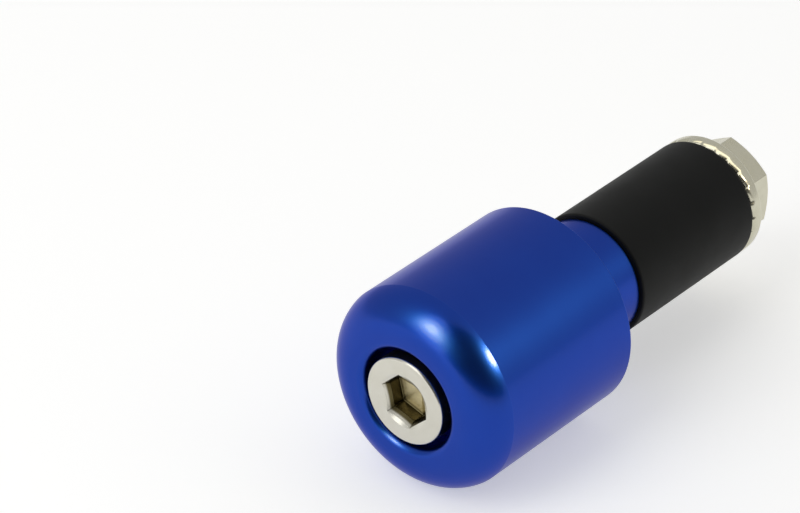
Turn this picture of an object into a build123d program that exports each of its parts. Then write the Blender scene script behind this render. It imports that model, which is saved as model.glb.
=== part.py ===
from build123d import *
import os
from math import cos, radians, tan

# Bar end weight for a motorbike handlebar, with an expander that grips the inside of the bar.
# A screw through the weight draws a flange nut towards it, and the rubber sleeve between them bulges.
# Millimetres. X runs along the axis from the rounded nose towards the nut, and Z is up.
# The origin is on the axis, in the plane of the shoulder that meets the end of the bar.

# Weight, turned from aluminium
barrel_diameter = 30.0
barrel_length = 30.0
nose_length = 4.55
front_width = 0.9
lip_radius = 1.1
shoulder_chamfer = 0.25
spigot_diameter = 17.4
spigot_length = 10.0
spigot_chamfer = 0.25

# Rubber sleeve
sleeve_diameter = 18.7
sleeve_length = 25.5
sleeve_edge_radius = 0.3

# Socket head cap screw, M8
thread_diameter = 8.0
head_diameter = 13.0
head_height = 8.0
head_edge_radius = 0.35
head_stand = 0.2
key_size = 6.0
key_depth = 3.0
key_flare = 0.5
key_flare_depth = 1.2
key_mouth_diameter = 8.2
key_mouth_angle = 25.0
key_floor_angle = 12.0
key_clocking = 16.0
tip_chamfer = 1.0
tip_inset = 0.2

# Hexagon flange nut, M8
nut_size = 13.0
nut_height = 7.6
nut_clocking = 30.0
nut_face_step = 0.25
nut_chamfer_angle = 30.0
flange_rim_height = 1.9
flange_cone_angle = 25.0
flange_under_step = 0.8
flange_under_angle = 20.0
nut_countersink = 0.5

# Clearances, on the radius
head_clearance = 1.0
shank_clearance = 0.25
thread_clearance = 0.04
flange_inset = 0.05

# Radii
barrel_radius = barrel_diameter / 2
spigot_radius = spigot_diameter / 2
sleeve_radius = sleeve_diameter / 2
thread_radius = thread_diameter / 2
head_radius = head_diameter / 2
flange_radius = sleeve_radius - flange_inset
recess_radius = head_radius + head_clearance
hole_radius = thread_radius + shank_clearance
nut_bore_radius = thread_radius + thread_clearance
crest_radius = recess_radius + lip_radius
front_radius = crest_radius + front_width
nut_corner_radius = nut_size / 2 / cos(radians(30))

# Stations along the axis
front_x = -barrel_length
head_top_x = front_x - head_stand
head_seat_x = head_top_x + head_height
spigot_end_x = spigot_length
sleeve_end_x = spigot_end_x + sleeve_length
nut_end_x = sleeve_end_x + nut_height
tip_x = nut_end_x - tip_inset


def turned(*curves):
    """Solid of revolution about X, from the curves of a closed half profile in (x, radius)."""
    edges = [edge for curve in curves for edge in curve.edges()]
    return revolve(make_face(edges), Axis.X)


def hexagon(x, across_flats, clocking):
    """Hexagon across the axis at x, with a corner at the clocking angle from +Y towards +Z."""
    corner_radius = across_flats / 2 / cos(radians(30))
    return Plane.YZ.offset(x) * RegularPolygon(corner_radius, 6, rotation=clocking)


def make_weight_body():
    """Barrel with a rounded nose that meets it in an edge, a round-lipped recess, and the spigot."""
    nose_x = front_x + nose_length
    lip_x = front_x + lip_radius
    lip = CenterArc((lip_x, crest_radius), lip_radius, 180, 90)
    front = Line((front_x, crest_radius), (front_x, front_radius))
    nose = TangentArc((front_x, front_radius), (nose_x, barrel_radius), tangent=(0, 1))
    back = Polyline(
        (nose_x, barrel_radius),
        (-shoulder_chamfer, barrel_radius),
        (0, barrel_radius - shoulder_chamfer),
        (0, spigot_radius),
        (spigot_end_x - spigot_chamfer, spigot_radius),
        (spigot_end_x, spigot_radius - spigot_chamfer),
        (spigot_end_x, hole_radius),
        (head_seat_x, hole_radius),
        (head_seat_x, recess_radius),
        (lip_x, recess_radius),
    )
    return turned(lip, front, nose, back)


def make_socket_screw():
    """Cap screw with its thread as a plain shank, and a hexagon socket with a flared, bevelled mouth."""
    edge_x = head_top_x + head_edge_radius
    edge = CenterArc((edge_x, head_radius - head_edge_radius), head_edge_radius, 90, 90)
    outline = Polyline(
        (edge_x, head_radius),
        (head_seat_x, head_radius),
        (head_seat_x, thread_radius),
        (tip_x - tip_chamfer, thread_radius),
        (tip_x, thread_radius - tip_chamfer),
        (tip_x, 0),
        (head_top_x, 0),
        (head_top_x, head_radius - head_edge_radius),
    )
    floor_x = head_top_x + key_depth
    socket = extrude(hexagon(head_top_x, key_size, key_clocking), key_depth)
    flare_end = hexagon(head_top_x + key_flare_depth, key_size, key_clocking)
    flare_mouth = hexagon(head_top_x, key_size + 2 * key_flare, key_clocking)
    flare = loft([flare_mouth, flare_end], ruled=True)
    floor_radius = key_size / 2
    floor_tip_x = floor_x + floor_radius * tan(radians(key_floor_angle))
    floor = turned(Polyline((floor_x, 0), (floor_x, floor_radius), (floor_tip_x, 0), close=True))
    mouth_radius = key_mouth_diameter / 2
    mouth_tip_x = head_top_x + mouth_radius * tan(radians(key_mouth_angle))
    mouth = turned(Polyline((head_top_x, 0), (head_top_x, mouth_radius), (mouth_tip_x, 0), close=True))
    return turned(edge, outline) - socket - flare - floor - mouth


def make_rubber_sleeve():
    """Plain rubber tube with rounded outer edges, clamped between the spigot and the nut."""
    first_x = spigot_end_x + sleeve_edge_radius
    last_x = sleeve_end_x - sleeve_edge_radius
    edge_centre_radius = sleeve_radius - sleeve_edge_radius
    first_edge = CenterArc((first_x, edge_centre_radius), sleeve_edge_radius, 90, 90)
    top = Line((first_x, sleeve_radius), (last_x, sleeve_radius))
    last_edge = CenterArc((last_x, edge_centre_radius), sleeve_edge_radius, 0, 90)
    inside = Polyline(
        (sleeve_end_x, edge_centre_radius),
        (sleeve_end_x, hole_radius),
        (spigot_end_x, hole_radius),
        (spigot_end_x, edge_centre_radius),
    )
    return turned(first_edge, top, last_edge, inside)


def make_flange_nut():
    """Hexagon with chamfered far corners on a flange with a flat rim, a cone above and a bevel below."""
    face_radius = nut_size / 2 - nut_face_step
    chamfer_length = (nut_corner_radius - face_radius) * tan(radians(nut_chamfer_angle))
    hexagon_prism = extrude(hexagon(sleeve_end_x, nut_size, nut_clocking), nut_height)
    chamfer_tool = turned(
        Polyline(
            (sleeve_end_x, 0),
            (sleeve_end_x, nut_corner_radius),
            (nut_end_x - chamfer_length, nut_corner_radius),
            (nut_end_x, face_radius),
            (nut_end_x, 0),
            close=True,
        )
    )
    under_x = sleeve_end_x + flange_under_step * tan(radians(flange_under_angle))
    rim_x = under_x + flange_rim_height
    cone_x = rim_x + (flange_radius - face_radius) * tan(radians(flange_cone_angle))
    flange = turned(
        Polyline(
            (sleeve_end_x, 0),
            (sleeve_end_x, flange_radius - flange_under_step),
            (under_x, flange_radius),
            (rim_x, flange_radius),
            (cone_x, face_radius),
            (cone_x, 0),
            close=True,
        )
    )
    mouth_radius = nut_bore_radius + nut_countersink
    bore = turned(
        Polyline(
            (sleeve_end_x, 0),
            (sleeve_end_x, mouth_radius),
            (sleeve_end_x + nut_countersink, nut_bore_radius),
            (nut_end_x - nut_countersink, nut_bore_radius),
            (nut_end_x, mouth_radius),
            (nut_end_x, 0),
            close=True,
        )
    )
    return (hexagon_prism & chamfer_tool) + flange - bore


pieces = {
    "weight_body": make_weight_body(),
    "socket_screw": make_socket_screw(),
    "rubber_sleeve": make_rubber_sleeve(),
    "flange_nut": make_flange_nut(),
}
os.makedirs("parts", exist_ok=True)
for name, piece in pieces.items():
    export_step(piece, f"parts/{name}.step")
    print(name, "volume", round(piece.volume, 1), "mm3")
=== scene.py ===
"""Looks of a bar end weight: blue anodised weight, plated screw and nut, black rubber expander sleeve.

Profiles are in millimetres, as x along the axis and radius r. Meshes are in metres, in the frame of the solids:
the axis is X, from the rounded nose to the nut, and the shoulder that meets the handlebar is at x = 0.
"""

import logging
from dataclasses import dataclass
from enum import Enum
from typing import Any

import bpy
import numpy as np
from mathutils import Matrix, Vector

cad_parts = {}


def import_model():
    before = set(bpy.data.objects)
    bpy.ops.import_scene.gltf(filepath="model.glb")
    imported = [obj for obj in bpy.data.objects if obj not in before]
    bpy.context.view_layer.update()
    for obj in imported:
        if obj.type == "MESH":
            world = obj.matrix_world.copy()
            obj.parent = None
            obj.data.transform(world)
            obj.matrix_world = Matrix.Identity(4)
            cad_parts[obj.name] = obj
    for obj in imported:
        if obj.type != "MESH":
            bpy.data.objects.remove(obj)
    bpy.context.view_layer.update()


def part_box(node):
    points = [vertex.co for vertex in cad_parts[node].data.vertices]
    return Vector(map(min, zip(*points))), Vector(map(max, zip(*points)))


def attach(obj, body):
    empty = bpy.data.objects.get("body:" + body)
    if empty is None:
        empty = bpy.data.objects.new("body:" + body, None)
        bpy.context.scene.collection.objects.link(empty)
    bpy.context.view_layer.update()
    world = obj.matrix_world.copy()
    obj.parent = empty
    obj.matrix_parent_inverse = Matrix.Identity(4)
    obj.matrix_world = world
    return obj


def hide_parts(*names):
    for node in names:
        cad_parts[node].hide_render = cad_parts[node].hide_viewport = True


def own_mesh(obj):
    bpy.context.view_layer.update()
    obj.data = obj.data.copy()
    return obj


MM = 0.001
# An edge of this radius, in millimetres, counts as sharp and takes all the wear and the painted edge highlight.
SHARP_MM = 0.15
# The attribute that holds how sharp the outline is at a point.
EDGE = "edge"
# The longest that the flat support beside a rounded corner may be, as a share of the shorter side.
SUPPORT_SHARE = 0.2
# Sockets of a Mix node that mixes colours: its two inputs and its result.
MIX_A, MIX_B, MIX_RESULT = 6, 7, 2
# Ways from the origin to the lamps left and right of the camera, and the ways along which they are long.
LEFT_WAY, LEFT_LONG = (-0.81, 0.19, 0.56), (0.54, -0.245, 0.81)
RIGHT_WAY, RIGHT_LONG = (0.19, -0.795, 0.577), (1, 0, 0)
PHOTO_WIDTH = 800

log = logging.getLogger("bar_end")


class Body(Enum):
    """The bodies that pieces ride on."""

    WEIGHT = "weight"
    SCREW = "screw"
    NUT = "nut"


class Node(Enum):
    """The solids that the pieces stand for."""

    WEIGHT = "weight_body"
    SCREW = "socket_screw"
    SLEEVE = "rubber_sleeve"
    NUT = "flange_nut"


class Slot(Enum):
    """The record's material slots."""

    ANODISED = "blue_anodised_aluminium"
    NICKEL = "nickel_plated_steel"
    ZINC = "zinc_plated_steel"
    RUBBER = "black_rubber"


def linear_colour(code: str) -> tuple[float, ...]:
    """Turns an sRGB hex colour to linear.

    Args:
        code: The colour as #rrggbb.

    Returns:
        Linear red, green, blue and an alpha of 1.
    """
    srgb = np.array([int(code[i : i + 2], 16) for i in (1, 3, 5)]) / 255
    linear = np.where(srgb <= 0.04045, srgb / 12.92, ((srgb + 0.055) / 1.055) ** 2.4)
    return (*linear.tolist(), 1.0)


def add_node(
    tree: bpy.types.NodeTree, kind: str, settings: dict[str, Any], inputs: dict[str | int, Any]
) -> bpy.types.Node:
    """Adds a node with its settings and links.

    Args:
        tree: The node tree.
        kind: The node's type.
        settings: Attributes of the node.
        inputs: Input sockets by name or number: a socket is linked, any other value is set.

    Returns:
        The node.
    """
    node = tree.nodes.new(kind)
    for name, value in settings.items():
        setattr(node, name, value)
    for name, value in inputs.items():
        if isinstance(value, bpy.types.NodeSocket):
            tree.links.new(value, node.inputs[name])
        else:
            node.inputs[name].default_value = value
    return node


def new_material(name: str) -> tuple[bpy.types.Material, bpy.types.NodeTree]:
    """Makes an empty node material.

    Args:
        name: The material's name.

    Returns:
        The material and its cleared node tree.
    """
    material = bpy.data.materials.new(name)
    material.use_nodes = True
    material.node_tree.nodes.clear()
    return material, material.node_tree


def rounded(corners: np.ndarray, radii: list[float], steps: int = 7) -> np.ndarray:
    """Rounds the inner corners of an open outline.

    A corner P between A and B gets an arc from S to E, which lie radius / tan(half the angle) from P. The arc is the
    rational curve ((1-k)^2 S + 2wk(1-k) P + k^2 E) / ((1-k)^2 + 2wk(1-k) + k^2), with w the sine of half the angle,
    which is a true circle. One more point each side keeps the shading of the flats flat.

    Args:
        corners: The outline's corners, (n, 2), or (n, m, 2) where they differ round the axis.
        radii: A radius for each corner but the first and last.
        steps: Points on each arc.

    Returns:
        The points of the rounded outline, in the same form.
    """
    before, corner, after = corners[:-2], corners[1:-1], corners[2:]
    to_before, to_after = before - corner, after - corner
    length_before = np.linalg.norm(to_before, axis=-1, keepdims=True)
    length_after = np.linalg.norm(to_after, axis=-1, keepdims=True)
    to_before, to_after = to_before / length_before, to_after / length_after
    cosine = np.sum(to_before * to_after, axis=-1, keepdims=True)
    radius = np.array(radii).reshape(-1, *[1] * (corners.ndim - 1))
    reach = radius * np.sqrt((1 + cosine) / (1 - cosine))
    start, end = corner + reach * to_before, corner + reach * to_after
    weight = np.sqrt((1 - cosine) / 2)
    k = np.linspace(0, 1, steps).reshape(-1, *[1] * (corners.ndim - 1))
    start, middle, end, weight = (a[:, None] for a in (start, corner, end, weight))
    shares = (1 - k) ** 2, 2 * weight * k * (1 - k), k**2
    arc = (shares[0] * start + shares[1] * middle + shares[2] * end) / (shares[0] + shares[1] + shares[2])
    support = np.minimum(radius, SUPPORT_SHARE * np.minimum(length_before, length_after))
    first = start + (support * to_before)[:, None]
    last = end + (support * to_after)[:, None]
    points = np.concatenate([first, arc, last], axis=1).reshape(-1, *corners.shape[1:])
    return np.concatenate([corners[:1], points, corners[-1:]])


def outline(points: list[tuple[Any, Any]], columns: int) -> np.ndarray:
    """Puts the corners of an outline into one array.

    Args:
        points: Corners as x and r, each a number or an array round the axis.
        columns: How many angles the outline is carried round.

    Returns:
        The corners, (n, columns, 2).
    """
    spread = [np.stack([np.broadcast_to(v, columns) for v in point], axis=-1) for point in points]
    return np.array(spread, float)


def round_columns(count: int) -> np.ndarray:
    """Evenly spaced angles round the axis, from +Y towards +Z."""
    return np.linspace(0, 2 * np.pi, count, endpoint=False)


@dataclass(frozen=True)
class Hexagon:
    """A hexagon with rounded corners, as a radius by angle, with columns that crowd at its corners."""

    clocking_deg: float
    rounding: float = 0.03
    flat_steps: int = 12
    corner_steps: int = 4
    guard_deg: float = 0.8

    def _local(self) -> np.ndarray:
        """Angles of one side's columns, from the middle of the side.

        They are even steps between knots: the corners, the ends of their roundings, and a guard column just inside
        each end, which keeps the shading of the flat even.

        Returns:
            The angles in radians, from one corner up to the next, which belongs to the next side.
        """
        flat_end = np.degrees(np.arctan((1 - self.rounding) * np.tan(np.pi / 6)))
        inner = flat_end - self.guard_deg
        knots = [-30, -flat_end, -inner, inner, flat_end, 30]
        counts = np.cumsum([0, self.corner_steps, 1, self.flat_steps, 1, self.corner_steps])
        return np.radians(np.interp(np.arange(counts[-1]), counts, knots))

    def angles(self) -> np.ndarray:
        """Angles of all the columns, with a corner at the clocking angle from +Y towards +Z."""
        sides = np.radians(self.clocking_deg + 30 + 60 * np.arange(6))
        return (sides[:, None] + self._local()).ravel()

    def radius(self, across_flats: float) -> np.ndarray:
        """Radius at each column.

        On a side it is a / cos(angle), with a half the width across flats. At a corner it is the far side of a
        circle of the rounding's radius, whose centre lies on the line to the corner.

        Args:
            across_flats: The hexagon's width.

        Returns:
            The radius at each of the angles.
        """
        half = across_flats / 2
        local = np.abs(self._local())
        flat_end = np.arctan((1 - self.rounding) * np.tan(np.pi / 6))
        centre = (1 - self.rounding) * half / np.cos(np.pi / 6)
        off = np.pi / 6 - local
        bulge = np.sqrt(np.maximum((self.rounding * half) ** 2 - (centre * np.sin(off)) ** 2, 0))
        side = np.where(local <= flat_end, half / np.cos(local), centre * np.cos(off) + bulge)
        return np.tile(side, 6)


@dataclass(frozen=True)
class Thread:
    """A right-hand metric thread, as a radius by place along and round the axis."""

    major_radius: float = 4.0
    pitch: float = 1.25
    steps: int = 12

    def rows(self, start: float, end: float) -> np.ndarray:
        """Evenly spaced places along the axis, a fraction of the pitch apart."""
        count = int(np.ceil(abs(end - start) / self.pitch * self.steps)) + 1
        return np.linspace(start, end, count)

    def radius(self, x: np.ndarray, angles: np.ndarray, clearance: float = 0.0) -> np.ndarray:
        """Radius of the flanks.

        The phase is x / pitch less the angle in turns, so the ridge climbs a pitch in a turn. Across a pitch the
        section is a 60 degree V whose crest is flat for an eighth of the pitch and whose root is flat for a quarter.

        Args:
            x: Places along the axis, (n,).
            angles: Angles round the axis, (m,).
            clearance: What a nut's thread stands clear of the screw's.

        Returns:
            Radii, (n, m).
        """
        phase = x[:, None] / self.pitch - angles[None, :] / (2 * np.pi)
        from_crest = np.abs(phase - np.round(phase)) * self.pitch
        depth = (from_crest - self.pitch / 16) * np.sqrt(3)
        deepest = (self.pitch * 3 / 8 - self.pitch / 16) * np.sqrt(3)
        return self.major_radius + clearance - np.clip(depth, 0, deepest)


def sharpness(profile: np.ndarray) -> np.ndarray:
    """How sharply an outline turns outwards, where hands and tools wear it and where a painted edge highlight goes.

    At a point it is the angle from the step before to the step after, over half their length together, which is the
    curvature, times the radius of a sharp edge. So it is 1 on an edge of that radius, and 0 on flats and in corners.

    Args:
        profile: Points of the outline, (n, m, 2), with the metal on its right.

    Returns:
        A share from 0 to 1 for each point, (n, m).
    """
    after = np.roll(profile, -1, axis=0) - profile
    before = np.roll(after, 1, axis=0)
    cross = before[..., 1] * after[..., 0] - before[..., 0] * after[..., 1]
    dot = np.sum(before * after, axis=-1)
    length = (np.linalg.norm(before, axis=-1) + np.linalg.norm(after, axis=-1)) / 2
    return np.clip(np.arctan2(cross, dot) / np.maximum(length, 1e-6) * SHARP_MM, 0, 1)


def lathe(name: str, profile: np.ndarray, angles: np.ndarray, closed: bool) -> bpy.types.Object:
    """Carries an outline round the axis.

    A point of the surface is (x, r cos(angle), r sin(angle)). The outline has the metal on its right, so the faces
    point outwards. It either closes on itself or starts and ends on the axis, where a single point closes the mesh.
    The UV map holds the angle in turns and the length along the outline in metres, and an attribute the sharpness.

    Args:
        name: The piece's name.
        profile: Points of the outline, (n, 2) or (n, m, 2), in millimetres.
        angles: The m angles round the axis.
        closed: Whether the outline closes on itself.

    Returns:
        The new object, with its place in its mesh.
    """
    columns = len(angles)
    if profile.ndim == 2:
        profile = np.repeat(profile[:, None], columns, axis=1)
    x, r = profile[..., 0], profile[..., 1]
    grid = np.stack([x, r * np.cos(angles), r * np.sin(angles)], axis=-1) * MM
    steps = np.linalg.norm(np.diff(profile, axis=0, append=profile[:1]), axis=-1).mean(axis=1)
    along = np.concatenate([[0], np.cumsum(steps)]) * MM
    turns = np.arange(columns + 1) / columns
    inner = grid if closed else grid[1:-1]
    edge = (sharpness(profile) if closed else sharpness(profile)[1:-1]).ravel()
    first_row = 0 if closed else 1
    index = np.arange(inner.shape[0] * columns).reshape(inner.shape[:2]) + first_row
    rows = np.vstack([index, index[:1]]) if closed else index
    right = np.roll(rows, -1, axis=1)
    quads = np.stack([rows[:-1], right[:-1], right[1:], rows[1:]], axis=-1).reshape(-1, 4)
    row_of, column_of = np.indices((len(rows) - 1, columns)).reshape(2, -1)
    quad_u = turns[column_of[:, None] + np.array([0, 1, 1, 0])]
    quad_v = along[row_of[:, None] + np.array([0, 0, 1, 1]) + first_row]
    points, loops = inner.reshape(-1, 3), quads.ravel()
    uv = np.stack([quad_u, quad_v], axis=-1).reshape(-1, 2)
    sizes = np.full(len(quads), 4)
    if not closed:
        last = len(points) + 1
        points = np.concatenate([grid[:1, 0], points, grid[-1:, 0]])
        edge = np.pad(edge, 1)
        middle = (turns[:-1] + turns[1:]) / 2
        column = np.arange(columns)
        start_fan = np.stack([np.zeros(columns, int), right[0], rows[0]], axis=-1)
        end_fan = np.stack([rows[-1], right[-1], np.full(columns, last)], axis=-1)
        start_u = np.stack([middle, turns[column + 1], turns[column]], axis=-1)
        end_u = np.stack([turns[column], turns[column + 1], middle], axis=-1)
        start_v = np.broadcast_to(along[[0, 1, 1]], start_u.shape)
        end_v = np.broadcast_to(along[[len(rows), len(rows), len(rows) + 1]], end_u.shape)
        fans = [np.stack([start_u, start_v], axis=-1), np.stack([end_u, end_v], axis=-1)]
        loops = np.concatenate([loops, start_fan.ravel(), end_fan.ravel()])
        uv = np.concatenate([uv, *[fan.reshape(-1, 2) for fan in fans]])
        sizes = np.concatenate([sizes, np.full(2 * columns, 3)])
    piece = make_object(name, points, loops, sizes, uv)
    piece.data.attributes.new(EDGE, "FLOAT", "POINT").data.foreach_set("value", edge.astype(np.float32))
    return piece


def make_object(
    name: str, points: np.ndarray, loops: np.ndarray, sizes: np.ndarray, uv: np.ndarray
) -> bpy.types.Object:
    """Puts arrays into a smooth mesh and links its object.

    Args:
        name: The piece's name.
        points: Vertices, (n, 3), in metres.
        loops: Vertex numbers of all the faces, one after the other.
        sizes: Corners of each face.
        uv: UV of each face corner.

    Returns:
        The object, at the origin.
    """
    mesh = bpy.data.meshes.new(name)
    mesh.vertices.add(len(points))
    mesh.vertices.foreach_set("co", points.astype(np.float32).ravel())
    mesh.loops.add(len(loops))
    mesh.loops.foreach_set("vertex_index", loops.astype(np.int32))
    mesh.polygons.add(len(sizes))
    mesh.polygons.foreach_set("loop_start", np.concatenate([[0], np.cumsum(sizes)[:-1]]).astype(np.int32))
    mesh.polygons.foreach_set("use_smooth", np.ones(len(sizes), bool))
    layer = mesh.uv_layers.new(name="lathe")
    mesh.update(calc_edges=True)
    layer.uv.foreach_set("vector", uv.astype(np.float32).ravel())
    mesh.validate()
    piece = bpy.data.objects.new(name, mesh)
    bpy.context.scene.collection.objects.link(piece)
    return piece


@dataclass(frozen=True)
class AnodisedAluminium:
    """Turned and polished aluminium under a blue dyed oxide film.

    To the eye it is a deep coloured metal with a clear gloss of its own, and faint rings from the lathe. The edge tint
    is what the metal turns to at a grazing view, and the film is the clear oxide over the dye.
    """

    dye: str = "#08369C"
    dye_thin: str = "#0A3CA4"
    roughness: tuple[float, float] = (0.27, 0.33)
    # Lighter colour for sharp edges: partly real wear, partly a painted highlight along the edges.
    worn_and_painted_highlight: str = "#1A4AAE"
    edge_tint: str = "#D4D1F4"
    film: float = 0.18
    film_roughness: float = 0.15
    film_index: float = 1.77
    ring_mm: float = 0.16
    ring_strength: float = 0.05
    ring_depth_mm: float = 0.02
    cloud_mm: float = 6.0

    def material(self) -> bpy.types.Material:
        """Makes the finish; its rings are drawn coarser than a real finishing cut, so that they show.

        Returns:
            The finish.
        """
        material, tree = new_material(Slot.ANODISED.value)
        where = add_node(tree, "ShaderNodeTexCoord", {}, {})
        split = add_node(tree, "ShaderNodeSeparateXYZ", {}, {0: where.outputs["UV"]})
        along = add_node(tree, "ShaderNodeMath", {"operation": "DIVIDE"}, {0: split.outputs["Y"], 1: self.ring_mm * MM})
        rings = add_node(
            tree, "ShaderNodeTexNoise", {"noise_dimensions": "1D"}, {"W": along.outputs[0], "Scale": 1.0, "Detail": 3.0}
        )
        clouds = add_node(
            tree,
            "ShaderNodeTexNoise",
            {},
            {"Vector": where.outputs["Object"], "Scale": 1 / (self.cloud_mm * MM), "Detail": 4.0},
        )
        colour = add_node(
            tree,
            "ShaderNodeMix",
            {"data_type": "RGBA"},
            {
                "Factor": clouds.outputs["Fac"],
                MIX_A: linear_colour(self.dye),
                MIX_B: linear_colour(self.dye_thin),
            },
        )
        # Sharp edges take the lighter colour, partly as wear and partly as a painted edge highlight.
        edge_wear_and_highlight_mask = add_node(tree, "ShaderNodeAttribute", {"attribute_name": EDGE}, {})
        colour = add_node(
            tree,
            "ShaderNodeMix",
            {"data_type": "RGBA"},
            {"Factor": edge_wear_and_highlight_mask.outputs["Fac"], MIX_A: colour.outputs[MIX_RESULT], MIX_B: linear_colour(self.worn_and_painted_highlight)},
        )
        rough = add_node(
            tree,
            "ShaderNodeMapRange",
            {},
            {"Value": rings.outputs["Fac"], "To Min": self.roughness[0], "To Max": self.roughness[1]},
        )
        bump = add_node(
            tree,
            "ShaderNodeBump",
            {},
            {
                "Strength": self.ring_strength,
                "Distance": self.ring_depth_mm * MM,
                "Height": rings.outputs["Fac"],
            },
        )
        shader = add_node(
            tree,
            "ShaderNodeBsdfPrincipled",
            {},
            {
                "Base Color": colour.outputs[MIX_RESULT],
                "Metallic": 1.0,
                "Roughness": rough.outputs[0],
                "Normal": bump.outputs[0],
                "Specular Tint": linear_colour(self.edge_tint),
                "Coat Weight": self.film,
                "Coat Roughness": self.film_roughness,
                "Coat IOR": self.film_index,
            },
        )
        add_node(tree, "ShaderNodeOutputMaterial", {}, {"Surface": shader.outputs[0]})
        return material


@dataclass(frozen=True)
class PlatedSteel:
    """Steel with a thin plate, turned or cold formed under it.

    To the eye it is a pale warm metal, softly brushed, cloudy at a small scale. Recesses can take painted light and
    shade: each is a painted tint and how far along the outline it reaches, in millimetres.
    """

    slot: Slot
    plate: str
    dull: str
    painted_hollow_tints: tuple[tuple[str, float], ...]
    roughness: tuple[float, float]
    lump: float
    painted_tint_fade_mm: float = 0.4
    ring_mm: float = 0.1
    ring_strength: float = 0.1
    ring_depth_mm: float = 0.02
    cloud_mm: float = 1.4
    lump_mm: float = 1.6
    lump_depth_mm: float = 0.1

    def material(self) -> bpy.types.Material:
        """Makes the finish; its turning rings are drawn coarser than the real ones, so that they show.

        Returns:
            The finish.
        """
        material, tree = new_material(self.slot.value)
        where = add_node(tree, "ShaderNodeTexCoord", {}, {})
        split = add_node(tree, "ShaderNodeSeparateXYZ", {}, {0: where.outputs["UV"]})
        along = add_node(tree, "ShaderNodeMath", {"operation": "DIVIDE"}, {0: split.outputs["Y"], 1: self.ring_mm * MM})
        rings = add_node(
            tree, "ShaderNodeTexNoise", {"noise_dimensions": "1D"}, {"W": along.outputs[0], "Scale": 1.0, "Detail": 2.0}
        )
        clouds = add_node(
            tree,
            "ShaderNodeTexNoise",
            {},
            {"Vector": where.outputs["Object"], "Scale": 1 / (self.cloud_mm * MM), "Detail": 5.0},
        )
        colour = add_node(
            tree,
            "ShaderNodeMix",
            {"data_type": "RGBA"},
            {"Factor": clouds.outputs["Fac"], MIX_A: linear_colour(self.plate), MIX_B: linear_colour(self.dull)},
        )
        # Painted shade and painted reflection in recesses: each tint covers the outline from its start up to its
        # length.
        for tint, end_mm in self.painted_hollow_tints:
            inside = add_node(
                tree,
                "ShaderNodeMapRange",
                {"interpolation_type": "SMOOTHSTEP"},
                {
                    "Value": split.outputs["Y"],
                    "From Min": (end_mm - self.painted_tint_fade_mm) * MM,
                    "From Max": end_mm * MM,
                    "To Min": 1.0,
                    "To Max": 0.0,
                },
            )
            colour = add_node(
                tree,
                "ShaderNodeMix",
                {"data_type": "RGBA"},
                {"Factor": inside.outputs[0], MIX_A: colour.outputs[MIX_RESULT], MIX_B: linear_colour(tint)},
            )
        rough = add_node(
            tree,
            "ShaderNodeMapRange",
            {},
            {"Value": clouds.outputs["Fac"], "To Min": self.roughness[0], "To Max": self.roughness[1]},
        )
        lumps = add_node(
            tree,
            "ShaderNodeTexNoise",
            {},
            {"Vector": where.outputs["Object"], "Scale": 1 / (self.lump_mm * MM), "Detail": 2.0},
        )
        dents = add_node(
            tree,
            "ShaderNodeBump",
            {},
            {"Strength": self.lump, "Distance": self.lump_depth_mm * MM, "Height": lumps.outputs["Fac"]},
        )
        bump = add_node(
            tree,
            "ShaderNodeBump",
            {},
            {
                "Strength": self.ring_strength,
                "Distance": self.ring_depth_mm * MM,
                "Height": rings.outputs["Fac"],
                "Normal": dents.outputs[0],
            },
        )
        shader = add_node(
            tree,
            "ShaderNodeBsdfPrincipled",
            {},
            {
                "Base Color": colour.outputs[MIX_RESULT],
                "Metallic": 1.0,
                "Roughness": rough.outputs[0],
                "Normal": bump.outputs[0],
            },
        )
        add_node(tree, "ShaderNodeOutputMaterial", {}, {"Surface": shader.outputs[0]})
        return material


@dataclass(frozen=True)
class MouldedRubber:
    """Black vulcanised rubber, moulded and ground.

    To the eye it is a satin black with a fine tooth, under a faint and cloudy grey bloom.
    """

    black: str = "#0A0B09"
    bloom: str = "#10110E"
    roughness: tuple[float, float] = (0.52, 0.66)
    gloss: float = 0.2
    tooth_mm: float = 0.12
    tooth_strength: float = 0.25
    tooth_depth_mm: float = 0.03
    bloom_mm: float = 4.0

    def material(self) -> bpy.types.Material:
        """Makes the finish; its tooth is a little coarser than the real one, so that it shows.

        Returns:
            The finish.
        """
        material, tree = new_material(Slot.RUBBER.value)
        where = add_node(tree, "ShaderNodeTexCoord", {}, {})
        tooth = add_node(
            tree,
            "ShaderNodeTexNoise",
            {},
            {"Vector": where.outputs["Object"], "Scale": 1 / (self.tooth_mm * MM), "Detail": 3.0},
        )
        clouds = add_node(
            tree,
            "ShaderNodeTexNoise",
            {},
            {"Vector": where.outputs["Object"], "Scale": 1 / (self.bloom_mm * MM), "Detail": 4.0},
        )
        colour = add_node(
            tree,
            "ShaderNodeMix",
            {"data_type": "RGBA"},
            {"Factor": clouds.outputs["Fac"], MIX_A: linear_colour(self.black), MIX_B: linear_colour(self.bloom)},
        )
        rough = add_node(
            tree,
            "ShaderNodeMapRange",
            {},
            {"Value": clouds.outputs["Fac"], "To Min": self.roughness[0], "To Max": self.roughness[1]},
        )
        bump = add_node(
            tree,
            "ShaderNodeBump",
            {},
            {
                "Strength": self.tooth_strength,
                "Distance": self.tooth_depth_mm * MM,
                "Height": tooth.outputs["Fac"],
            },
        )
        shader = add_node(
            tree,
            "ShaderNodeBsdfPrincipled",
            {},
            {
                "Base Color": colour.outputs[MIX_RESULT],
                "Roughness": rough.outputs[0],
                "Normal": bump.outputs[0],
                "Specular IOR Level": self.gloss,
            },
        )
        add_node(tree, "ShaderNodeOutputMaterial", {}, {"Surface": shader.outputs[0]})
        return material


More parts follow.
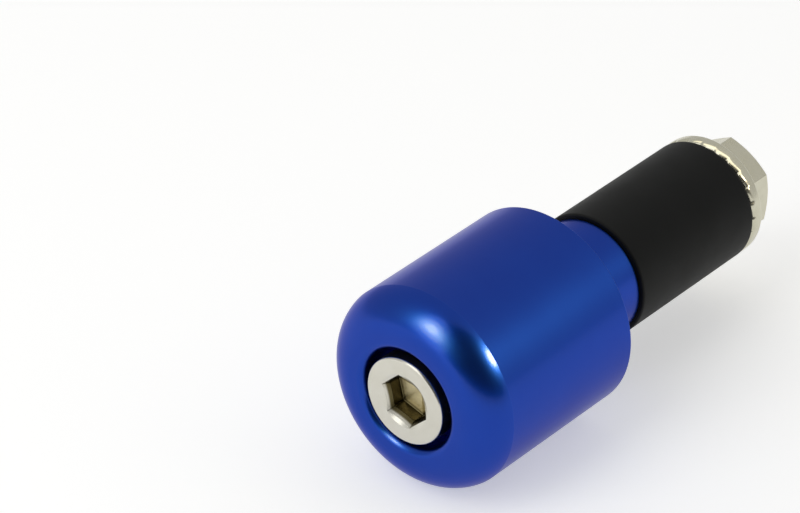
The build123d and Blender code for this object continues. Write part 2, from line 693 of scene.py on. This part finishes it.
def node_span(node: Node) -> tuple[float, float, float]:
    """A solid's ends along the axis and its radius, in millimetres.

    Args:
        node: The solid.

    Returns:
        First x, last x and radius.
    """
    low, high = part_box(node.value)
    return low.x / MM, high.x / MM, high.z / MM


def dress(
    piece: bpy.types.Object, material: bpy.types.Material, body: Body, node: Node
) -> bpy.types.Object:
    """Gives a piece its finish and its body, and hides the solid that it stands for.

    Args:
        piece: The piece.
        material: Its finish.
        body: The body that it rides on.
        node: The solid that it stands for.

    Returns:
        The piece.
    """
    piece.data.materials.append(material)
    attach(piece, body.value)
    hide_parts(node.value)
    return piece


@dataclass
class Weight:
    """The turned weight: barrel, rounded nose, recess for the screw head, and spigot."""

    nose_length: float = 4.55
    front_width: float = 0.9
    lip_radius: float = 1.1
    recess_radius: float = 7.5
    recess_depth: float = 7.8
    hole_radius: float = 4.25
    spigot_radius: float = 8.7
    edge_chamfer: float = 0.25
    edge_break: float = 0.12
    nose_edge_break: float = 0.3
    columns: int = 288
    nose_steps: int = 48
    lip_steps: int = 16

    def profile(self) -> np.ndarray:
        """Outline of the weight.

        The nose is an arc that starts along the flat front and meets the barrel in a blunt edge. With its length and
        height it spans twice atan(length / height), and its bend is height / sin(span): x = front + bend (1 - cos t),
        r = flat + bend sin t. The lip of the recess is a quarter circle. The other corners have a small break.

        Returns:
            Points of the closed outline, (n, 2).
        """
        front, spigot_end, barrel = node_span(Node.WEIGHT)
        crest = self.recess_radius + self.lip_radius
        flat = crest + self.front_width
        span = 2 * np.arctan(self.nose_length / (barrel - flat))
        bend = (barrel - flat) / np.sin(span)
        t = np.linspace(0, span, self.nose_steps)
        nose = np.stack([front + bend * (1 - np.cos(t)), flat + bend * np.sin(t)], axis=-1)
        seat, cut = front + self.recess_depth, self.edge_chamfer
        lip_x = front + self.lip_radius
        back = np.array(
            [
                nose[-2],
                nose[-1],
                (-cut, barrel),
                (0, barrel - cut),
                (0, self.spigot_radius),
                (spigot_end - cut, self.spigot_radius),
                (spigot_end, self.spigot_radius - cut),
                (spigot_end, self.hole_radius),
                (seat, self.hole_radius),
                (seat, self.recess_radius),
                (lip_x + self.edge_break, self.recess_radius),
            ]
        )
        edges = rounded(back, [self.nose_edge_break] + [self.edge_break] * (len(back) - 3))
        u = np.linspace(0, np.pi / 2, self.lip_steps)
        lip = np.stack([lip_x - self.lip_radius * np.sin(u), crest - self.lip_radius * np.cos(u)], axis=-1)
        return np.concatenate([nose[:-2], edges, lip])

    def build(self, material: bpy.types.Material) -> bpy.types.Object:
        """Makes the piece and dresses it."""
        piece = lathe("weight", self.profile(), round_columns(self.columns), closed=True)
        return dress(piece, material, Body.WEIGHT, Node.WEIGHT)


@dataclass
class CapScrew:
    """The M8 socket head cap screw."""

    head_height: float = 8.0
    head_edge: float = 0.35
    key_size: float = 6.0
    key_depth: float = 3.0
    key_flare: float = 0.5
    key_flare_depth: float = 1.2
    key_mouth_radius: float = 4.1
    key_mouth_deg: float = 25.0
    floor_drop: float = 0.64
    key_clocking_deg: float = 16.0
    thread_length: float = 28.0
    tip_chamfer: float = 1.0
    edge_break: float = 0.1
    floor_round: float = 0.15
    flare_break: float = 0.03
    mouth_break: float = 0.05
    thread: Thread = Thread()

    def profile(self, hexagon: Hexagon) -> np.ndarray:
        """Outline of the screw, from the floor of its socket round the head and along the shank to its tip.

        The socket's corners are the hexagon's radius at each angle. A round countersink cuts its mouth, deeper where
        the flats are, by how far they lie inside its rim. The thread's rows are cut down to a cone at the tip, where
        the radius falls as fast as x rises.

        Args:
            hexagon: The socket's section.

        Returns:
            Points of the outline, (n, m, 2).
        """
        top, tip, head_radius = node_span(Node.SCREW)
        angles = hexagon.angles()
        columns = len(angles)
        seat, floor = top + self.head_height, top + self.key_depth
        key = hexagon.radius(self.key_size)
        mouth = hexagon.radius(self.key_size + 2 * self.key_flare)
        cut = (self.key_mouth_radius - mouth) * np.tan(np.radians(self.key_mouth_deg))
        shank = self.thread.major_radius
        run_out = tip - self.thread_length
        head = rounded(
            outline(
                [
                    (floor + self.floor_drop, 0),
                    (floor, key),
                    (top + self.key_flare_depth, key),
                    (top + cut, mouth),
                    (top, self.key_mouth_radius),
                    (top, head_radius),
                    (seat, head_radius),
                    (seat, shank),
                    (run_out - self.thread.pitch, shank),
                ],
                columns,
            ),
            [
                self.floor_round,
                self.edge_break,
                self.flare_break,
                self.mouth_break,
                self.head_edge,
                self.edge_break,
                self.edge_break,
            ],
        )
        x = self.thread.rows(run_out, tip)
        grown = np.clip((x - run_out) / self.thread.pitch, 0, 1)[:, None]
        ridge = shank + grown * (self.thread.radius(x, angles) - shank)
        cone = shank - self.tip_chamfer + (tip - x)[:, None]
        rows = np.stack([np.broadcast_to(x[:, None], ridge.shape), np.minimum(ridge, cone)], axis=-1)
        end_radius = shank - self.tip_chamfer
        end = outline([(tip, end_radius - self.edge_break), (tip, 0)], columns)
        return np.concatenate([head, rows, end])

    def build(self, material: bpy.types.Material) -> bpy.types.Object:
        """Makes the piece and dresses it.

        Args:
            material: The plated steel.

        Returns:
            The piece.
        """
        hexagon = Hexagon(self.key_clocking_deg)
        piece = lathe("cap_screw", self.profile(hexagon), hexagon.angles(), closed=False)
        return dress(piece, material, Body.SCREW, Node.SCREW)


@dataclass
class ExpanderSleeve:
    """The rubber sleeve, which shortens as the nut is drawn in."""

    hole_radius: float = 4.25
    edge_radius: float = 0.3
    hole_edge: float = 0.2
    travel: float = 3.0
    columns: int = 240

    def profile(self) -> np.ndarray:
        """Outline of the sleeve: a tube with round outer edges.

        Returns:
            Points of the closed outline, (n, 2).
        """
        first, last, radius = node_span(Node.SLEEVE)
        middle = (first + last) / 2
        corners = np.array(
            [
                (middle, self.hole_radius),
                (first, self.hole_radius),
                (first, radius),
                (last, radius),
                (last, self.hole_radius),
                (middle + self.hole_edge, self.hole_radius),
            ]
        )
        return rounded(corners, [self.hole_edge, self.edge_radius, self.edge_radius, self.hole_edge])

    def build(self, material: bpy.types.Material) -> bpy.types.Object:
        """Makes the piece, dresses it and gives it a mesh of its own.

        Args:
            material: The rubber.

        Returns:
            The piece.
        """
        piece = lathe("expander_sleeve", self.profile(), round_columns(self.columns), closed=True)
        dress(piece, material, Body.WEIGHT, Node.SLEEVE)
        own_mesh(piece)
        return piece


@dataclass
class FlangeNut:
    """The M8 hexagon flange nut."""

    size: float = 13.0
    clocking_deg: float = 30.0
    face_step: float = 0.25
    chamfer_deg: float = 30.0
    rim_height: float = 1.9
    cone_deg: float = 25.0
    under_step: float = 0.8
    under_deg: float = 20.0
    teeth: int = 24
    tooth_depth: float = 0.4
    tooth_length: float = 2.2
    tooth_knots: tuple[float, ...] = (0.0, 0.1, 0.7, 0.85, 1.0)
    countersink: float = 0.5
    thread_clearance: float = 0.04
    rim_front_round: float = 0.8
    rim_back_round: float = 0.45
    edge_break: float = 0.12
    root_round: float = 0.3
    flat_steps: int = 60
    thread: Thread = Thread()

    def notch(self, angles: np.ndarray) -> np.ndarray:
        """How far the rim stands back from the bearing face, where its teeth are cut.

        Over a tooth, from the first knot to the last, the depth is nothing up to the second, rises slowly to the full
        depth at the third, and falls fast to nothing at the fourth, as on a nut that locks against turning back.

        Args:
            angles: Angles round the axis.

        Returns:
            The depth at each angle.
        """
        place = angles * self.teeth / (2 * np.pi) % 1
        return np.interp(place, self.tooth_knots, [0, 0, self.tooth_depth, 0, 0])

    def profile(self, hexagon: Hexagon) -> np.ndarray:
        """Outline of the nut, from its bearing face out over the flange and the hexagon, and back through the bore.

        The bearing face runs out to the teeth, which stand back by the notch at the rim. The rim ends where the solid's
        does, past its bevel. The cone of the flange meets each side at x = rim + (flange - r) tan(cone angle), and the
        chamfer leaves it at x = end - (r - face) tan(chamfer angle), with r the hexagon's radius at that angle. In the
        bore, the radius is the larger of the thread's and the two countersinks', which fall as fast as x leaves the
        ends.

        Args:
            hexagon: The nut's section.

        Returns:
            Points of the closed outline, (n, m, 2).
        """
        first, last, flange = node_span(Node.NUT)
        angles = hexagon.angles()
        columns = len(angles)
        side, face = hexagon.radius(self.size), self.size / 2 - self.face_step
        under_x = first + self.under_step * np.tan(np.radians(self.under_deg))
        rim_x = under_x + self.rim_height
        root_x = rim_x + (flange - side) * np.tan(np.radians(self.cone_deg))
        shoulder_x = last - (side - face) * np.tan(np.radians(self.chamfer_deg))
        mouth = self.thread.major_radius + self.thread_clearance + self.countersink
        outside = rounded(
            outline(
                [
                    (first, mouth + self.edge_break),
                    (first, flange - self.tooth_length),
                    (first + self.edge_break + self.notch(angles), flange),
                    (rim_x, flange),
                    (root_x, side),
                    (shoulder_x, side),
                    (last, face),
                    (last, mouth + self.edge_break),
                ],
                columns,
            ),
            [
                self.edge_break,
                self.rim_front_round,
                self.rim_back_round,
                self.root_round,
                self.edge_break,
                self.edge_break,
            ],
        )
        x = self.thread.rows(last, first)
        flanks = self.thread.radius(x, angles, self.thread_clearance)
        sinks = mouth - np.minimum(last - x, x - first)[:, None]
        bore = np.stack([np.broadcast_to(x[:, None], flanks.shape), np.maximum(flanks, sinks)], axis=-1)
        return np.concatenate([outside, bore])

    def build(self, material: bpy.types.Material) -> bpy.types.Object:
        """Makes the piece and dresses it.

        Args:
            material: The plated steel.

        Returns:
            The piece.
        """
        hexagon = Hexagon(self.clocking_deg, flat_steps=self.flat_steps)
        piece = lathe("flange_nut_piece", self.profile(hexagon), hexagon.angles(), closed=True)
        return dress(piece, material, Body.NUT, Node.NUT)


@dataclass(frozen=True)
class Softbox:
    """A lamp with an oval face that looks at the object, sized in metres."""

    name: str
    direction: tuple[float, float, float]
    long_way: tuple[float, float, float]
    distance: float
    size: tuple[float, float]
    radiance: float
    colour: str = "#FFFFFF"
    only: tuple[Node, ...] = ()

    def build(self, pieces: dict[Node, bpy.types.Object]) -> None:
        """Hangs the lamp in its direction from the origin, turned to face it.

        An oval gives power = radiance x pi x area. Its long side lies along long_way, less that vector's part towards
        the object. Where only some pieces are named, it is shaded from the rest, as a flag beside a lamp does.

        Args:
            pieces: The pieces by the solid that they stand for.
        """
        lamp = bpy.data.lights.new(self.name, "AREA")
        lamp.shape = "ELLIPSE"
        lamp.color = linear_colour(self.colour)[:3]
        lamp.size, lamp.size_y = self.size
        area = np.pi / 4 * lamp.size * lamp.size_y
        lamp.energy = self.radiance * np.pi * area
        holder = bpy.data.objects.new(self.name, lamp)
        if self.only:
            lit = bpy.data.collections.new(self.name)
            for node in self.only:
                lit.objects.link(pieces[node])
            holder.light_linking.receiver_collection = lit
        way = Vector(self.direction).normalized()
        side = Vector(self.long_way)
        side = (side - way * side.dot(way)).normalized()
        turn = Matrix((side, way.cross(side), way)).transposed().to_4x4()
        holder.matrix_world = Matrix.Translation(way * self.distance) @ turn
        bpy.context.scene.collection.objects.link(holder)


@dataclass
class Studio:
    """White floor, dim room, softboxes and the camera at the photograph's viewpoint."""

    azimuth_deg: float = -49.6
    elevation_deg: float = 33.1
    focal_px: float = 4000.0
    sensor_mm: float = 36.0
    clip: tuple[float, float] = (0.01, 20.0)
    # Where the middle of the front face lies from the camera, in millimetres.
    front_right: float = 0.62
    front_down: float = 19.25
    front_ahead: float = 531.8
    # Half the floor's width, in metres.
    floor_half: float = 3.0
    floor_colour: str = "#F4F4F2"
    floor_roughness: float = 0.9
    floor_gloss: float = 0.1
    floor_glow: float = 0.44
    # The room's strength, and that of its dim side, with the way to it and where it starts to fade and ends.
    room: float = 0.62
    dim_room: float = 0.09
    dim_way: tuple[float, float, float] = (-0.62, -0.68, 0.39)
    dim_deg: tuple[float, float] = (48.0, 55.0)
    # The left lamps, each nearer and smaller, make the soft spot on the nose. The right ones make the hard spot and
    # the glints on the socket and the flange, and the top one lights the nut.
    lamps: tuple[Softbox, ...] = (
        Softbox("left_glow", LEFT_WAY, LEFT_LONG, 0.7, (1.0, 0.4), 1.5),
        Softbox("left_lamp", LEFT_WAY, LEFT_LONG, 0.65, (0.5, 0.26), 7.5, "#FFC960", (Node.WEIGHT,)),
        Softbox("left_bulb", LEFT_WAY, LEFT_LONG, 0.6, (0.22, 0.12), 20.0, "#FFC960", (Node.WEIGHT,)),
        Softbox("right_lamp", RIGHT_WAY, RIGHT_LONG, 0.7, (0.25, 0.2), 75.0, "#FFC88C", (Node.WEIGHT,)),
        Softbox("right_bulb", RIGHT_WAY, RIGHT_LONG, 0.7, (0.14, 0.14), 25.0, "#FFF1DC", (Node.SCREW, Node.NUT)),
        Softbox("top_lamp", (0.05, -0.1, 0.99), (0, 1, 0), 0.7, (1.5, 0.7), 1.5, "#FFF6E0", (Node.NUT,)),
    )

    def camera(self) -> None:
        """Places the camera so that the front face lies as far right, down and ahead of it as it was measured."""
        azimuth, elevation = np.radians([self.azimuth_deg, self.elevation_deg])
        level = np.array([-np.sin(azimuth), np.cos(azimuth), 0])
        ahead = np.cos(elevation) * level - np.sin(elevation) * np.array([0, 0, 1])
        right = np.array([np.cos(azimuth), np.sin(azimuth), 0])
        up = np.cross(right, ahead)
        front = np.array([node_span(Node.WEIGHT)[0], 0, 0])
        place = front - (self.front_right * right - self.front_down * up + self.front_ahead * ahead)
        data = bpy.data.cameras.new("camera")
        data.sensor_width = self.sensor_mm
        data.lens = self.focal_px / PHOTO_WIDTH * self.sensor_mm
        data.clip_start, data.clip_end = self.clip
        holder = bpy.data.objects.new("camera", data)
        turn = Matrix((right, up, -ahead)).transposed().to_4x4()
        holder.matrix_world = Matrix.Translation(Vector(place * MM)) @ turn
        bpy.context.scene.collection.objects.link(holder)
        bpy.context.scene.camera = holder

    def floor(self) -> None:
        """Lays the floor under the barrel: white, and lifted a little where it is seen, so that the shadow stays."""
        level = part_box(Node.WEIGHT.value)[0].z
        corners = np.array([(-1, -1, 0), (1, -1, 0), (1, 1, 0), (-1, 1, 0)]) * self.floor_half
        corners[:, 2] = level
        uv = np.array([(0, 0), (1, 0), (1, 1), (0, 1)], float)
        piece = make_object("floor", corners, np.arange(4), np.array([4]), uv)
        # Matt white paper, which to the eye has no gloss and takes a soft shadow.
        material, tree = new_material("white_paper")
        path = add_node(tree, "ShaderNodeLightPath", {}, {})
        seen = add_node(
            tree,
            "ShaderNodeMath",
            {"operation": "MAXIMUM"},
            {0: path.outputs["Is Camera Ray"], 1: path.outputs["Is Glossy Ray"]},
        )
        seen = add_node(
            tree,
            "ShaderNodeMath",
            {"operation": "MAXIMUM"},
            {0: seen.outputs[0], 1: path.outputs["Is Transmission Ray"]},
        )
        glow = add_node(tree, "ShaderNodeMath", {"operation": "MULTIPLY"}, {0: seen.outputs[0], 1: self.floor_glow})
        shader = add_node(
            tree,
            "ShaderNodeBsdfPrincipled",
            {},
            {
                "Base Color": linear_colour(self.floor_colour),
                "Roughness": self.floor_roughness,
                "Specular IOR Level": self.floor_gloss,
                "Emission Color": (1.0, 1.0, 1.0, 1.0),
                "Emission Strength": glow.outputs[0],
            },
        )
        add_node(tree, "ShaderNodeOutputMaterial", {}, {"Surface": shader.outputs[0]})
        piece.data.materials.append(material)

    def world(self) -> None:
        """Lights the room evenly, but for the dim side that the object is looked at from."""
        world = bpy.data.worlds.new("room")
        bpy.context.scene.world = world
        world.use_nodes = True
        tree = world.node_tree
        tree.nodes.clear()
        where = add_node(tree, "ShaderNodeTexCoord", {}, {})
        towards = add_node(
            tree,
            "ShaderNodeVectorMath",
            {"operation": "DOT_PRODUCT"},
            {0: where.outputs["Generated"], 1: Vector(self.dim_way).normalized()},
        )
        inner, outer = np.cos(np.radians(self.dim_deg))
        level = add_node(
            tree,
            "ShaderNodeMapRange",
            {"interpolation_type": "SMOOTHSTEP"},
            {
                "Value": towards.outputs["Value"],
                "From Min": outer,
                "From Max": inner,
                "To Min": self.room,
                "To Max": self.dim_room,
            },
        )
        back = add_node(tree, "ShaderNodeBackground", {}, {"Color": (1, 1, 1, 1), "Strength": level.outputs[0]})
        add_node(tree, "ShaderNodeOutputWorld", {}, {"Surface": back.outputs[0]})

    def build(self, pieces: dict[Node, bpy.types.Object]) -> None:
        """Sets up the camera, the floor, the room and the lamps.

        Args:
            pieces: The pieces by the solid that they stand for, since some lamps light chosen pieces only.
        """
        self.camera()
        self.floor()
        self.world()
        for lamp in self.lamps:
            lamp.build(pieces)
        bpy.context.scene.view_settings.view_transform = "Standard"


def main() -> None:
    """Loads the solids, builds and reports each piece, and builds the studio."""
    logging.basicConfig(level=logging.INFO, format="%(name)s %(message)s")
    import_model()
    # The screw's socket walls are painted darker as shade, and its floor takes a painted warm reflection.
    nickel = PlatedSteel(
        slot=Slot.NICKEL,
        plate="#D6D4CA",
        dull="#CCC9BC",
        painted_hollow_tints=(("#625A3E", 6.0), ("#D8CCA4", 3.2)),
        roughness=(0.2, 0.3),
        lump=0.05,
    )
    zinc = PlatedSteel(
        slot=Slot.ZINC, plate="#D3D0BE", dull="#C2BFAA", painted_hollow_tints=(), roughness=(0.18, 0.32), lump=0.3
    )
    pieces = {
        Node.WEIGHT: Weight().build(AnodisedAluminium().material()),
        Node.SCREW: CapScrew().build(nickel.material()),
        Node.SLEEVE: ExpanderSleeve().build(MouldedRubber().material()),
        Node.NUT: FlangeNut().build(zinc.material()),
    }
    for node, piece in pieces.items():
        log.info("%s stands for %s, with %d faces", piece.name, node.value, len(piece.data.polygons))
    Studio().build(pieces)


if __name__ == "__main__":
    main()
